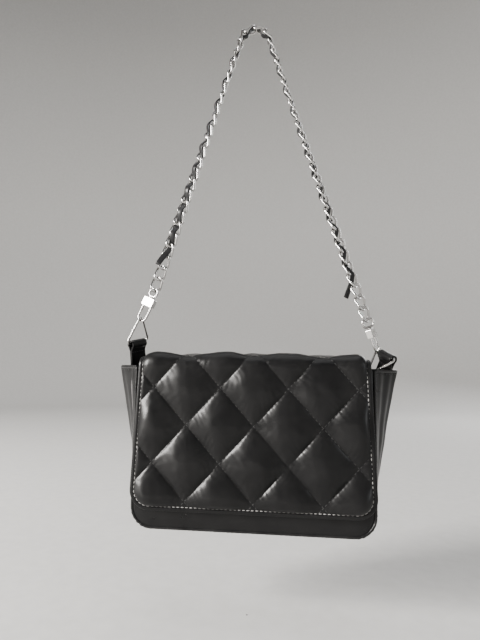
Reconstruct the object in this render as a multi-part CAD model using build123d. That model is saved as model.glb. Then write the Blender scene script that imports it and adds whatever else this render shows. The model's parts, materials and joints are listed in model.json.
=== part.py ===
from build123d import *
import os
from math import cos, radians, sin, tan

# A quilted flap bag hanging by its chain strap, in millimetres.
# The bag is drawn in its own frame: X to the right, Y to the back, Z up, with x = 0 at its middle,
# y = 0 at its front piping and z = 0 under its base. Every piece is then moved so that the origin
# is the top of the chain, where a hand or a hook holds the strap.

# ---- driving dimensions ----
HALF_WIDTH = 124.0        # body, middle to the outside of a side
DEPTH = 65.0              # front piping to back piping
BODY_TOP = 164.0          # top edge of the front, back and sides
CORNER = 22.0             # bottom corners of the body
FLARE = 26.0              # how far the fold of a side stands out at the top
PIPE_R = 1.6              # piping
LEATHER = 1.4             # body leather
BOARD = 1.4               # stiffener
LINING = 0.8              # lining cloth

FLAP_HALF_TOP = 116.2     # flap, middle to edge, at the fold
FLAP_HALF_LOW = 121.3     # the same at its bottom edge
FLAP_BOTTOM = 21.0        # height of the flap's bottom edge
FLAP_CORNER = 20.0        # its bottom corners
FLAP_SKIN = 1.0           # quilted outer leather
BEND_IN = 6.6             # inside radius of both folds of the flap
BEND_OUT = 13.6           # outside radius
BEND_Z = 165.0            # height of both fold centres
FRONT_BEND_Y = 3.0        # fold centre over the front
BACK_BEND_Y = 58.0        # fold centre over the back
TAIL_LOW = 148.0          # lower edge of the part sewn to the back
TAIL_THICK = 3.0

SNAP_Z = 46.0             # magnetic snap
SNAP_R = 9.0
STUD_R = 3.6

RING_WIRE = 1.2           # triangle rings
RING_BASE = 32.0
RING_HEIGHT = 32.0
RING_CORNER = 3.1
TAB_WIDTH = 18            # leather loops that hold the rings
TAB_BORE = 3.4
TAB_OUT = 5.0
TAB_FOOT_Z = 146.0
TAB_FOOT_Y = 46.0

HOOK_WIRE = 1.3           # strap clips
HOOK_R = 6.0
LOOP_TOP = 18.0           # underside of the clip's block above the wire at the loop's bottom
BLOCK = (7.4, 3.0, 9.0)   # half width, half depth, height
PIN_R = 0.7
STEM_R = 1.5
EYE_LOW = 29.8            # the eye's two bars, above the wire at the loop's bottom
EYE_HIGH = 38.6
EYE_HALF = 5.6
LINK_GAP = 0.15           # play between bars that hook into each other

LINK_WIRE = 1.3           # chain links
LINK_HALF = 6.0           # half length of a link's end bar
LINK_REACH = 8.3          # middle of the link to the middle of an end bar
LINK_TWIST = 35.0         # degrees that each end bar is turned from flat
LINK_BEND = 4.6           # bend radius of its corners
TOP_R = 17.0              # bend of the chain at the hold
TOP_PITCH = 12.2          # link spacing in that bend
TOP_REACH = 30.1          # from the hold to the first link of each leg
LEG_PITCH = 13.15         # link spacing in the legs, at most
LACE_R = 1.2

# ---- the line of the strap, in the bag's frame ----
LEFT_BASE = Vector(-132.8, 32.0, 191.6)     # middle of the left ring's base wire
LEFT_ALONG = Vector(15.5, 25.4, 6.0)
LEFT_UP = Vector(6.8, -10.6, 29.0)
LEFT_PULL = Vector(0.403, 0.01, 0.915)
RIGHT_BASE = Vector(138.5, 24.0, 181.0)     # middle of the right ring's base wire
RIGHT_ALONG = Vector(-12.4, 22.0, 9.8)
RIGHT_UP = Vector(-0.70, -0.04, -0.72)
RIGHT_PULL = Vector(-0.33, -0.02, 0.94)
RIGHT_EYE_TURN = -62.0                      # degrees that the right eye is turned on its stem
RIGHT_TAB_SHIFT = 1.4                       # how far the right tab sits towards its ring's near corner
LEGS_MEET = Vector(-5.3, 29.0, 595.1)       # where the two straight legs would cross
ROLL_AT_LEFT = -15.0                        # how far the links are turned round the chain
ROLL_AT_TOP = 90.0
ROLL_AT_RIGHT = 28.0

parts = {}


# ---- small helpers ----
def block(x, y, z):
    """A box between two values on each axis."""
    centre = Pos((x[0] + x[1]) / 2, (y[0] + y[1]) / 2, (z[0] + z[1]) / 2)
    return centre * Box(x[1] - x[0], y[1] - y[0], z[1] - z[0])


def panel(half, z, y, radius):
    """An upright board, centred on x = 0, whose two bottom corners are round."""
    board = block((-half, half), y, z)
    low = board.edges().filter_by(Axis.Y).group_by(Axis.Z)[0]
    return fillet(low, radius)


def disc(radius, x, z, y):
    """A round piece whose axis runs front to back."""
    return Pos(x, (y[0] + y[1]) / 2, z) * Rot(90, 0, 0) * Cylinder(radius, y[1] - y[0])


def rod(a, b, radius):
    """A round bar from a to b."""
    path = Line(a, b)
    return sweep(Plane(origin=a, z_dir=b - a) * Circle(radius), path=path)


def wire_loop(points, radii, wire):
    """Round wire bent to a closed outline with round corners."""
    path = FilletPolyline(*points, radius=radii, close=True)
    return sweep((path ^ 0) * Circle(wire), path=path)


def mirrored(shape):
    return mirror(shape, about=Plane.YZ)


# ---- body ----
def side_outline(outer, inner, flare, height):
    """One side seen from above, between two distances in from its outside."""
    front = 2 * PIPE_R
    back = DEPTH - 2 * PIPE_R
    middle = DEPTH / 2
    corners = [
        (HALF_WIDTH - outer, front),
        (HALF_WIDTH - outer + flare, middle),
        (HALF_WIDTH - outer, back),
        (HALF_WIDTH - inner, back),
        (HALF_WIDTH - inner + flare, middle),
        (HALF_WIDTH - inner, front),
    ]
    return make_face(Pos(0, 0, height) * Polyline(*corners, close=True))


SIDE_LOW = CORNER + 2.0
SIDE_LINED = PIPE_R + 0.1 + LINING        # outside of a side to the inside of its lining


def flare_at(z):
    """How far the fold of a side stands out at a height."""
    return 1.0 + (FLARE - 1.0) * (z - SIDE_LOW) / (BODY_TOP - SIDE_LOW)


def side_wall(outer, inner, low, high):
    sections = [side_outline(outer, inner, flare_at(z), z) for z in (low, high)]
    return loft(sections, ruled=True)


def make_body():
    front_y = (0.4, 0.4 + LEATHER)
    back_y = (DEPTH - front_y[1], DEPTH - front_y[0])
    inside = (2 * PIPE_R, DEPTH - 2 * PIPE_R)
    face_half = HALF_WIDTH - 2 * PIPE_R
    face_z = (2 * PIPE_R, BODY_TOP)
    face_corner = CORNER - 2 * PIPE_R
    parts["front_panel"] = panel(face_half, face_z, front_y, face_corner)
    parts["back_panel"] = panel(face_half, face_z, back_y, face_corner)

    board_z = (6.0, BODY_TOP - 5.0)
    board = panel(face_half - 3.0, board_z, (front_y[1], front_y[1] + BOARD), face_corner - 3.0)
    washer_y = (front_y[1], front_y[1] + 0.6)
    parts["front_stiffener"] = board - disc(8.0, 0, SNAP_Z, (0, 10))
    parts["snap_socket_washer"] = disc(7.5, 0, SNAP_Z, washer_y)
    back_board_y = (back_y[0] - BOARD, back_y[0])
    parts["back_stiffener"] = panel(face_half - 3.0, board_z, back_board_y, face_corner - 3.0)

    shell = panel(HALF_WIDTH, (0, SIDE_LOW), inside, CORNER)
    hollow = panel(HALF_WIDTH - PIPE_R, (PIPE_R, SIDE_LOW + 2), inside, CORNER - PIPE_R)
    parts["base_panel"] = shell - hollow
    base_board_half = HALF_WIDTH - CORNER - 2.0
    parts["base_stiffener"] = block(
        (-base_board_half, base_board_half), (inside[0] + 2, inside[1] - 2), (PIPE_R, PIPE_R + 1.4)
    )

    lined = (inside[0] + 0.8, inside[1] - 0.8)
    cover = panel(HALF_WIDTH - 1.7, (3.2, SIDE_LOW), lined, CORNER - 3.1)
    room = panel(HALF_WIDTH - 1.7 - LINING, (3.2 + LINING, SIDE_LOW + 2), lined, CORNER - 3.9)
    parts["lining_base"] = cover - room
    lining_z = (3.4 + LINING, BODY_TOP - 1.0)
    front_lining_y = (front_y[1] + BOARD + 0.1, front_y[1] + BOARD + 0.1 + LINING)
    back_lining_y = (DEPTH - front_lining_y[1], DEPTH - front_lining_y[0])
    parts["lining_front"] = panel(face_half - 0.4, lining_z, front_lining_y, face_corner - 0.8)
    parts["lining_back"] = panel(face_half - 0.4, lining_z, back_lining_y, face_corner - 0.8)

    gusset = side_wall(0.0, PIPE_R, SIDE_LOW, BODY_TOP)
    side_lining = side_wall(PIPE_R + 0.1, SIDE_LINED, SIDE_LOW, BODY_TOP)
    binding = side_wall(-0.6, 2.9, BODY_TOP, BODY_TOP + 1.4)
    for name, piece in (("gusset", gusset), ("lining", side_lining), ("gusset_binding", binding)):
        parts[name + "_right"] = piece
        parts[name + "_left"] = mirrored(piece)

    half = HALF_WIDTH - PIPE_R
    for name, y in (("piping_front", PIPE_R), ("piping_back", DEPTH - PIPE_R)):
        corners = [(-half, y, BODY_TOP), (-half, y, PIPE_R), (half, y, PIPE_R), (half, y, BODY_TOP)]
        path = FilletPolyline(*corners, radius=CORNER - PIPE_R)
        parts[name] = sweep(Plane(origin=corners[0], z_dir=(0, 0, -1)) * Circle(PIPE_R), path=path)

    pocket_back = back_lining_y[0]
    pocket_front = pocket_back - 5.5
    pocket = block((-75, 75), (pocket_front, pocket_back), (58, 138))
    parts["inner_pocket"] = pocket - block(
        (-75 + LINING, 75 - LINING), (pocket_front + LINING, pocket_back + 1), (58 + LINING, 139)
    )

    socket = disc(SNAP_R, 0, SNAP_Z, (-1.9, front_y[0]))
    parts["snap_socket"] = socket - disc(STUD_R + 0.8, 0, SNAP_Z, (-2.5, -0.4))


# ---- flap ----
def flap_sheet(y, inset, top=BEND_Z):
    """The hanging front of the flap between two depths, drawn in by inset all round."""
    slope = (FLAP_HALF_LOW - FLAP_HALF_TOP) / (BEND_Z - FLAP_BOTTOM)
    low = FLAP_BOTTOM + inset
    high_half = FLAP_HALF_TOP - inset - slope * (top - BEND_Z)
    low_half = FLAP_HALF_LOW - inset - slope * inset
    outline = Polyline((-high_half, top), (high_half, top), (low_half, low), (-low_half, low), close=True)
    sheet = extrude(make_face(Plane.XZ * outline), amount=y[1] - y[0], dir=(0, 1, 0))
    sheet = Pos(0, y[0], 0) * sheet
    corners = sheet.edges().filter_by(Axis.Y).group_by(Axis.Z)[0]
    return fillet(corners, FLAP_CORNER - inset)


def fold(centre_y, inner, outer, towards):
    """A quarter of a tube round a fold's axis, in the quarter above it and towards front or back."""
    whole = Pos(0, centre_y, BEND_Z) * Rot(0, 90, 0)
    tube = whole * Cylinder(outer, 2 * FLAP_HALF_TOP) - whole * Cylinder(inner, 2 * FLAP_HALF_TOP + 2)
    y = sorted((centre_y, centre_y + towards * 2 * outer))
    quarter = block((-FLAP_HALF_TOP - 1, FLAP_HALF_TOP + 1), y, (BEND_Z, BEND_Z + 2 * outer))
    return tube & quarter


def make_flap():
    inner = FRONT_BEND_Y - BEND_IN
    outer = FRONT_BEND_Y - BEND_OUT
    lining_y = (inner - LINING, inner)
    board_y = (lining_y[0] - 1.0, lining_y[0])
    wadding_y = (outer + FLAP_SKIN, board_y[0])
    snap_hole = disc(8.0, 0, SNAP_Z, (board_y[0] - 0.5, board_y[1]))
    parts["flap_lining_front"] = flap_sheet(lining_y, 0.0)
    parts["flap_stiffener"] = flap_sheet(board_y, 6.0) - snap_hole
    parts["flap_wadding_front"] = flap_sheet(wadding_y, 5.0)
    tray = flap_sheet((outer, lining_y[0]), 0.0)
    parts["flap_skin_front"] = tray - flap_sheet(
        (outer + FLAP_SKIN, lining_y[0] + 1), FLAP_SKIN, BEND_Z + 10
    )

    length = (FRONT_BEND_Y, BACK_BEND_Y)
    half = (-FLAP_HALF_TOP, FLAP_HALF_TOP)
    under = BEND_Z + BEND_IN
    top = BEND_Z + BEND_OUT
    parts["flap_lining_top"] = block(half, length, (under, under + LINING))
    tray = block(half, length, (under + LINING, top))
    room = block((half[0] + 1, half[1] - 1), (length[0] - 1, length[1] + 1), (under, top - FLAP_SKIN))
    parts["flap_skin_top"] = tray - room
    parts["flap_wadding_top"] = block(
        (half[0] + 5, half[1] - 5), length, (under + LINING, top - FLAP_SKIN)
    )

    for name, y, towards in (("front", FRONT_BEND_Y, -1), ("back", BACK_BEND_Y, 1)):
        skin = fold(y, BEND_OUT - FLAP_SKIN, BEND_OUT, towards)
        cloth = fold(y, BEND_IN, BEND_IN + LINING, towards)
        parts["flap_" + name + "_fold"] = Compound([*skin.solids(), *cloth.solids()])
        parts["flap_" + name + "_fold_wadding"] = fold(
            y, BEND_IN + LINING, BEND_OUT - FLAP_SKIN, towards
        )
    tail_y = (BACK_BEND_Y + BEND_IN, BACK_BEND_Y + BEND_IN + TAIL_THICK)
    parts["flap_tail"] = block(half, tail_y, (TAIL_LOW, BEND_Z))

    stud = disc(SNAP_R, 0, SNAP_Z, (inner, inner + 1.3))
    parts["snap_stud"] = stud + disc(STUD_R, 0, SNAP_Z, (inner + 1.3, inner + 2.9))
    parts["snap_stud_washer"] = disc(7.5, 0, SNAP_Z, (board_y[1] - 0.6, board_y[1]))


# ---- rings and the tabs that hold them ----
def triangle(base, along, up):
    """The three corners of a ring's centre line, and the unit vectors along its base and up it."""
    side = along.normalized()
    rise = (up - side * up.dot(side)).normalized()
    near = base - side * (RING_BASE / 2)
    far = base + side * (RING_BASE / 2)
    return near, far, base + rise * RING_HEIGHT, side, rise


def pulled_point(corner, one, other, pull, normal):
    """The furthest point of a round corner of the centre line in the direction of the pull."""
    inward = ((one - corner).normalized() + (other - corner).normalized()).normalized()
    half_angle = radians(inward.get_angle(one - corner))
    centre = corner + inward * (RING_CORNER / sin(half_angle))
    flat_pull = (pull - normal * pull.dot(normal)).normalized()
    return centre + flat_pull * RING_CORNER


def tab_foot(hand):
    """Where a tab is sewn in: its middle and its direction, flat on the lining behind the side's fold."""
    reach = DEPTH / 2 - 2 * PIPE_R
    flare = flare_at(TAB_FOOT_Z)
    along = Vector(-hand * flare, reach, 0).normalized()
    inward = Vector(-hand * reach, -flare, 0).normalized()
    lining_x = HALF_WIDTH - SIDE_LINED + flare * (DEPTH - 2 * PIPE_R - TAB_FOOT_Y) / reach
    face = Vector(hand * lining_x, TAB_FOOT_Y, TAB_FOOT_Z)
    return face + inward * (TAB_OUT - TAB_BORE + 0.1), along


def tab(base, side, rise, foot, foot_along):
    """A leather strip folded round the ring's base, with both ends sewn inside the side's fold."""
    drop = TAB_BORE - RING_WIRE - 0.1
    middle = base - rise * drop
    plane = Plane(origin=middle - side * (TAB_WIDTH / 2), z_dir=side)
    loop = extrude(plane * (Circle(TAB_OUT)), amount=TAB_WIDTH)
    bore = extrude(plane * (Circle(TAB_BORE)), amount=TAB_WIDTH)
    thick = TAB_OUT - TAB_BORE
    down = (foot - middle).normalized()
    down = (down - side * down.dot(side)).normalized()
    start = middle + down * (TAB_BORE + 0.3)
    upper = Plane(origin=start, x_dir=side, z_dir=down)
    lower = Plane(origin=foot, x_dir=foot_along, z_dir=(0, 0, -1))
    strap = loft(
        [upper * Rectangle(TAB_WIDTH, 2 * thick), lower * Rectangle(TAB_WIDTH, 2 * thick)], ruled=True
    )
    return (loop + strap) - bore


# ---- clips ----
def clip_plane(origin, pull, normal):
    """The clip's own frame: Z along the pull, Y along the ring's wire, X across the loop."""
    ring_wire = normal.cross(pull).normalized()
    across = ring_wire.cross(pull.normalized())
    return Plane(origin=origin, x_dir=across, z_dir=pull)


def make_clip(side_name, plane, eye_turn):
    half, deep, tall = BLOCK
    block_z = (LOOP_TOP, LOOP_TOP + tall)
    pin_z = LOOP_TOP + 2.0
    gate_end = HOOK_R + 1.8
    bow = FilletPolyline(
        (-HOOK_R, 0, LOOP_TOP + 1), (-HOOK_R, 0, 0), (HOOK_R, 0, 0), (HOOK_R, 0, gate_end - 0.3),
        radius=HOOK_R * 0.999,
    )
    hook = sweep(Plane(origin=(-HOOK_R, 0, LOOP_TOP + 1), z_dir=(0, 0, -1)) * Circle(HOOK_WIRE), path=bow)
    body = block((-half, half), (-deep, deep), block_z) + hook
    body = fillet(body.edges().filter_by(Axis.Y).group_by(Axis.Z)[-1], 1.0)
    slot = block((3.2, half + 1), (-HOOK_WIRE - 0.2, HOOK_WIRE + 0.2), (LOOP_TOP - 1, LOOP_TOP + 4.0))
    pin_hole = disc(PIN_R, HOOK_R, pin_z, (-deep - 1, deep + 1))
    bore = Pos(0, 0, block_z[1]) * Cylinder(STEM_R + 0.05, 9.0)
    cavity = Pos(0, 0, LOOP_TOP + 1.4) * Cylinder(2.7, 7.0)
    parts["clip_" + side_name + "_body"] = plane.location * (body - slot - pin_hole - bore - cavity)
    pin = disc(PIN_R, HOOK_R, pin_z, (-deep, deep))
    parts["clip_" + side_name + "_pin"] = plane.location * pin

    gate = rod(Vector(HOOK_R, 0, gate_end), Vector(HOOK_R, 0, pin_z + 1.3), HOOK_WIRE)
    thumb = Pos(HOOK_R + 2.2, 0, pin_z) * Rot(0, 90, 0) * Cylinder(1.1, 3.2)
    gate = gate + thumb - disc(PIN_R + 0.06, HOOK_R, pin_z, (-deep, deep))
    parts["clip_" + side_name + "_gate"] = plane.location * gate

    head = Pos(0, 0, LOOP_TOP + 3.7) * Cylinder(2.4, 2.0)
    stem = Pos(0, 0, (LOOP_TOP + 4.7 + block_z[1] + 0.4) / 2) * Cylinder(STEM_R, tall - 4.3)
    collar = Pos(0, 0, block_z[1] + 1.0) * Cylinder(3.0, 1.6)
    eye = wire_loop(
        [(-EYE_HALF, 0, EYE_LOW), (EYE_HALF, 0, EYE_LOW), (EYE_HALF, 0, EYE_HIGH), (-EYE_HALF, 0, EYE_HIGH)],
        3.6, HOOK_WIRE,
    )
    swivel = Rot(0, 0, eye_turn) * (head + stem + collar + eye)
    parts["clip_" + side_name + "_swivel"] = plane.location * swivel
    return plane.location * Pos(0, 0, EYE_HIGH - HOOK_WIRE - LINK_WIRE - LINK_GAP)


def make_hardware():
    """Rings, tabs and clips. Returns where the chain hooks into each clip's eye."""
    ends = []
    sides = (
        ("left", -1, LEFT_BASE, LEFT_ALONG, LEFT_UP, LEFT_PULL, 0.0, 0.0),
        ("right", 1, RIGHT_BASE, RIGHT_ALONG, RIGHT_UP, RIGHT_PULL, RIGHT_EYE_TURN, RIGHT_TAB_SHIFT),
    )
    for name, hand, base, along, up, pull, eye_turn, shift in sides:
        near, far, apex, side, rise = triangle(base, along, up)
        normal = side.cross(rise)
        ring = wire_loop([near, far, apex], RING_CORNER, RING_WIRE)
        parts["ring_" + name] = ring
        foot, foot_along = tab_foot(hand)
        roll = rise if name == "left" else Vector(0, 0, 1) - side * side.Z
        strip = tab(base - side * shift, side, roll.normalized(), foot, foot_along)
        for neighbour in ("gusset_", "gusset_binding_", "lining_"):
            strip = strip - parts[neighbour + name]
        parts["tab_" + name] = strip.solids().sort_by(SortBy.VOLUME)[-1]
        held = (apex, near, far) if name == "left" else (far, near, apex)
        contact = pulled_point(*held, pull, normal)
        pull = pull.normalized()
        origin = contact - pull * (RING_WIRE + HOOK_WIRE + 2 * LINK_GAP)
        plane = clip_plane(origin, pull, normal)
        end = make_clip(name, plane, eye_turn)
        ends.append(Vector(*end.position))
    return ends


# ---- chain ----
def make_link():
    """One curb link along Z: each end bar is turned from flat, one way at the top, the other below."""
    turn = radians(LINK_TWIST)
    c, s = LINK_HALF * cos(turn), LINK_HALF * sin(turn)
    top, low = Vector(0, 0, LINK_REACH), Vector(0, 0, -LINK_REACH)
    path = FilletPolyline(top, (c, -s, LINK_REACH), (c, s, -LINK_REACH), low, radius=LINK_BEND)
    half = sweep(Plane(origin=top, z_dir=(c, -s, 0)) * Circle(LINK_WIRE), path=path)
    return half + Rot(0, 0, 180) * half


class StrapLine:
    """The strap's centre line: a straight leg, a round bend at the top and a second straight leg."""

    def __init__(self, left, meet, right):
        self.left, self.right = left, right
        self.up = (meet - left).normalized()
        self.down = (right - meet).normalized()
        turn = radians(self.up.get_angle(self.down))
        cut = TOP_R * tan(turn / 2)
        self.leg_left = (meet - left).length - cut
        self.leg_right = (right - meet).length - cut
        self.turn = turn
        self.centre = meet + (self.down - self.up).normalized() * (TOP_R / cos(turn / 2))
        self.start = left + self.up * self.leg_left
        self.top_at = self.leg_left + TOP_R * turn / 2
        self.length = self.leg_left + TOP_R * turn + self.leg_right

    def at(self, s):
        """The point and the direction at a distance along the line from the left clip."""
        if s <= self.leg_left:
            return self.left + self.up * s, self.up
        if s >= self.length - self.leg_right:
            return self.right - self.down * (self.length - s), self.down
        angle = (s - self.leg_left) / TOP_R
        radial = (self.start - self.centre).normalized()
        outward = radial * cos(angle) + self.up * sin(angle)
        return self.centre + outward * TOP_R, self.up * cos(angle) - radial * sin(angle)


def link_places(line):
    """Distances along the line of the links of each leg and of the four at the top."""
    top = [line.top_at + TOP_PITCH * step for step in (-1.5, -0.5, 0.5, 1.5)]
    legs = []
    for length in (line.top_at - TOP_REACH, line.length - line.top_at - TOP_REACH):
        span = length - LINK_REACH
        count = round(span / LEG_PITCH)
        legs.append([LINK_REACH + span * i / count for i in range(count + 1)])
    right = [line.length - s for s in legs[1]]
    return legs[0], top, right


def roll_at(line, s):
    """Links lie nearly flat to the front at the clips and turn edge on at the top."""
    if s < line.top_at:
        start, share = ROLL_AT_LEFT, s / (line.top_at - TOP_REACH)
    else:
        start, share = ROLL_AT_RIGHT, (line.length - s) / (line.length - line.top_at - TOP_REACH)
    return radians(start + (ROLL_AT_TOP - start) * min(1.0, share))


def placed_link(link, line, s):
    point, direction = line.at(s)
    across = Vector(direction.Z, 0, -direction.X).normalized()
    depth = direction.cross(across)
    roll = roll_at(line, s)
    flat = across * cos(roll) - depth * sin(roll)
    return Plane(origin=point, x_dir=flat, z_dir=direction).location * link


def make_strap(ends):
    line = StrapLine(ends[0], LEGS_MEET, ends[1])
    link = make_link()
    groups = link_places(line)
    for name, places in zip(("chain_left", "chain_top", "chain_right"), groups):
        links = [placed_link(link, line, s) for s in places]
        parts[name] = Compound([piece for one in links for piece in one.solids()])

    first = groups[0][3]
    last = line.length - first
    a, _ = line.at(first)
    b, _ = line.at(last)
    path = FilletPolyline(a, LEGS_MEET, b, radius=TOP_R)
    parts["lace"] = sweep(Plane(origin=a, z_dir=line.up) * Circle(LACE_R), path=path)
    return line


make_body()
make_flap()
strap = make_strap(make_hardware())
origin, _ = strap.at(strap.top_at)

os.makedirs("parts", exist_ok=True)
for name, shape in parts.items():
    export_step(Pos(-origin.X, -origin.Y, -origin.Z) * shape, "parts/" + name + ".step")
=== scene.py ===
import json
import math

import bmesh
import bpy
import numpy as np
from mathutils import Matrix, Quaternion, Vector


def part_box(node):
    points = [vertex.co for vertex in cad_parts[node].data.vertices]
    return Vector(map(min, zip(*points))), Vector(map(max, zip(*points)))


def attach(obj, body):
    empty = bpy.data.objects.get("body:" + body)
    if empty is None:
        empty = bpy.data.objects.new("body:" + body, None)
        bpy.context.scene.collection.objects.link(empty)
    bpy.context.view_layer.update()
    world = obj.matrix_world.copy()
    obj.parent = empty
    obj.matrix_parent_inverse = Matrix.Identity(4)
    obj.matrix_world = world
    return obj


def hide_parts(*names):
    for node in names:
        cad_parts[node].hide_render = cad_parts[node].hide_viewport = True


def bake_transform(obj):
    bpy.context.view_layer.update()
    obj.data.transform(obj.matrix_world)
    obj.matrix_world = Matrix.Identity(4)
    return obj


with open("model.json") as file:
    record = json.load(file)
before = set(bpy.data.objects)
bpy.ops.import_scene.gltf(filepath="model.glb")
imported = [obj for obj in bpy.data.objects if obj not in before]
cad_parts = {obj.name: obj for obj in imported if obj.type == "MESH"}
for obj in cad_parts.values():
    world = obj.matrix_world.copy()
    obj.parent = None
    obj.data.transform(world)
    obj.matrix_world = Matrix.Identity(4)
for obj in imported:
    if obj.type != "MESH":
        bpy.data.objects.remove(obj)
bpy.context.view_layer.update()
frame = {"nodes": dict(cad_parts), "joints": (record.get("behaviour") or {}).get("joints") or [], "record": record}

# ---- the bag's own frame, in millimetres: x = 0 at its middle, y = 0 at its front, z = 0 at its base ----
pipe_low, pipe_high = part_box("piping_front")
BAG = np.array([(pipe_low.x + pipe_high.x) / 2, pipe_low.y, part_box("base_panel")[0].z])

HALF_WIDTH = 124.0
DEPTH = 65.0
BODY_TOP = 164.0
CORNER = 22.0
PIPE_R = 1.6
SIDE_LOW = CORNER + 2.0
FLARE = 26.0
FLAP_HALF_TOP = 117.4
FLAP_HALF_LOW = 123.2
FLAP_BOTTOM = 21.0
FLAP_CORNER = 20.0
BEND_Z = 165.0
BEND_IN = 6.6
FRONT_Y = 3.0
BACK_Y = 58.0
YOKE_Y = 46.0                             # where the plain back piece begins on the flap's top
QUILT_X0 = 2.3                            # quilting: the middle of one of the diamonds
QUILT_Z0 = 144.2
QUILT_DX = 34.5
QUILT_DZ = 38.0
QUILT_SIDE = math.hypot(QUILT_DX, QUILT_DZ)
QUILT_GAP = 2 * QUILT_DX * QUILT_DZ / QUILT_SIDE      # between parallel stitch lines
PUFF = 7.2                                # how far a puff stands above its stitching
SEAM_T = 2.6                              # thickness of the flap at its quilt stitching
BACK_T = 0.9                              # the back of its leather, just outside the lining
SEAM_IN = 3.6                             # edge stitching to the edge
QUILT_MID = 3.5                           # middle of the quilted leather, out from inside the lining
ARC = (BEND_IN + QUILT_MID) * math.pi / 2     # length of a fold, in the middle of the leather
LINING_T = 0.75
BODY_T = 1.3
BASE_T = 1.6
SIDE_T = 1.5
STITCH_PITCH = 4.4                        # of the sewing along the edges
SPECULAR = 0.14                           # of all leather


def rows(points):
    """Points of the bag's frame as rows of metres in the part's frame."""
    return np.asarray(points, float) / 1000 + BAG


# ---- noise that is the same at every run ----
class Waves:
    """Smooth noise over two coordinates: a sum of plane waves with seeded directions and phases."""

    def __init__(self, seed, wavelength, count=9, stretch=1.0):
        random = np.random.default_rng(seed)
        angle = random.uniform(0, math.pi, count)
        size = 2 * math.pi / (wavelength * random.uniform(0.7, 1.5, count))
        self.kx = size * np.cos(angle)
        self.ky = size * np.sin(angle) / stretch
        self.phase = random.uniform(0, 2 * math.pi, count)
        self.scale = 1 / math.sqrt(count / 2)

    def __call__(self, a, b):
        a, b = np.asarray(a, float), np.asarray(b, float)
        total = np.zeros(np.broadcast(a, b).shape)
        for kx, ky, phase in zip(self.kx, self.ky, self.phase):
            total += np.sin(kx * a + ky * b + phase)
        return total * self.scale


def smooth(value, low, high):
    share = np.clip((value - low) / (high - low), 0, 1)
    return share * share * (3 - 2 * share)


# ---- materials ----
def node_material(name):
    material = bpy.data.materials.new(name)
    material.use_nodes = True
    tree = material.node_tree
    shader = tree.nodes["Principled BSDF"]
    place = tree.nodes.new("ShaderNodeTexCoord")
    return material, tree, shader, place.outputs["Object"]


def texture(tree, kind, place, scale, **values):
    node = tree.nodes.new(kind)
    tree.links.new(place, node.inputs["Vector"])
    node.inputs["Scale"].default_value = scale
    for key, value in values.items():
        node.inputs[key.replace("_", " ")].default_value = value
    return node


def ramp(tree, source, low, high, first, last):
    """Maps a texture's value between two limits to two grey values or colours."""
    node = tree.nodes.new("ShaderNodeValToRGB")
    tree.links.new(source, node.inputs["Fac"])
    for stop, at, value in zip(node.color_ramp.elements, (low, high), (first, last)):
        stop.position = at
        stop.color = (*value, 1.0) if isinstance(value, tuple) else (value, value, value, 1.0)
    return node.outputs["Color"]


def bump(tree, shader, layers):
    """Chains height layers: (output, strength, distance in metres)."""
    previous = None
    for source, strength, distance in layers:
        node = tree.nodes.new("ShaderNodeBump")
        node.inputs["Strength"].default_value = strength
        node.inputs["Distance"].default_value = distance
        tree.links.new(source, node.inputs["Height"])
        if previous is not None:
            tree.links.new(previous, node.inputs["Normal"])
        previous = node.outputs["Normal"]
    tree.links.new(previous, shader.inputs["Normal"])


def leather(name, colour, worn, rough, coat, grain=0.16):
    """Finished leather: small pebbles with creases between them, and a gloss that varies with handling."""
    material, tree, shader, place = node_material(name)
    cells = texture(tree, "ShaderNodeTexVoronoi", place, 950.0)
    fine = texture(tree, "ShaderNodeTexNoise", place, 2600.0, Detail=3.0)
    broad = texture(tree, "ShaderNodeTexNoise", place, 38.0, Detail=4.0, Roughness=0.6)
    crease = texture(tree, "ShaderNodeTexNoise", place, 150.0, Detail=6.0, Roughness=0.65, Distortion=1.2)
    tree.links.new(ramp(tree, broad.outputs["Fac"], 0.3, 0.75, colour, worn), shader.inputs["Base Color"])
    tree.links.new(ramp(tree, broad.outputs["Fac"], 0.3, 0.7, rough - 0.05, rough + 0.09),
                   shader.inputs["Roughness"])
    shader.inputs["Coat Weight"].default_value = coat
    shader.inputs["Coat Roughness"].default_value = 0.2
    shader.inputs["Specular IOR Level"].default_value = SPECULAR
    bump(tree, shader, [
        (cells.outputs["Distance"], grain, 0.00008),
        (fine.outputs["Fac"], grain * 0.6, 0.00006),
        (crease.outputs["Fac"], 0.06, 0.00012),
    ])
    return material


def cloth(name, colour, shade, scale=1500.0):
    """Plain-woven cloth."""
    material, tree, shader, place = node_material(name)
    warp = texture(tree, "ShaderNodeTexWave", place, scale / 6.3, Distortion=0.4, Detail=1.0)
    warp.bands_direction = "X"
    weft = texture(tree, "ShaderNodeTexWave", place, scale / 6.3, Distortion=0.4, Detail=1.0)
    weft.bands_direction = "Z"
    slub = texture(tree, "ShaderNodeTexNoise", place, 300.0, Detail=3.0)
    tree.links.new(ramp(tree, slub.outputs["Fac"], 0.35, 0.7, colour, shade), shader.inputs["Base Color"])
    shader.inputs["Roughness"].default_value = 0.85
    shader.inputs["Sheen Weight"].default_value = 0.3
    bump(tree, shader, [
        (warp.outputs["Fac"], 0.25, 0.00012),
        (weft.outputs["Fac"], 0.25, 0.00012),
        (slub.outputs["Fac"], 0.15, 0.0002),
    ])
    return material


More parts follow.
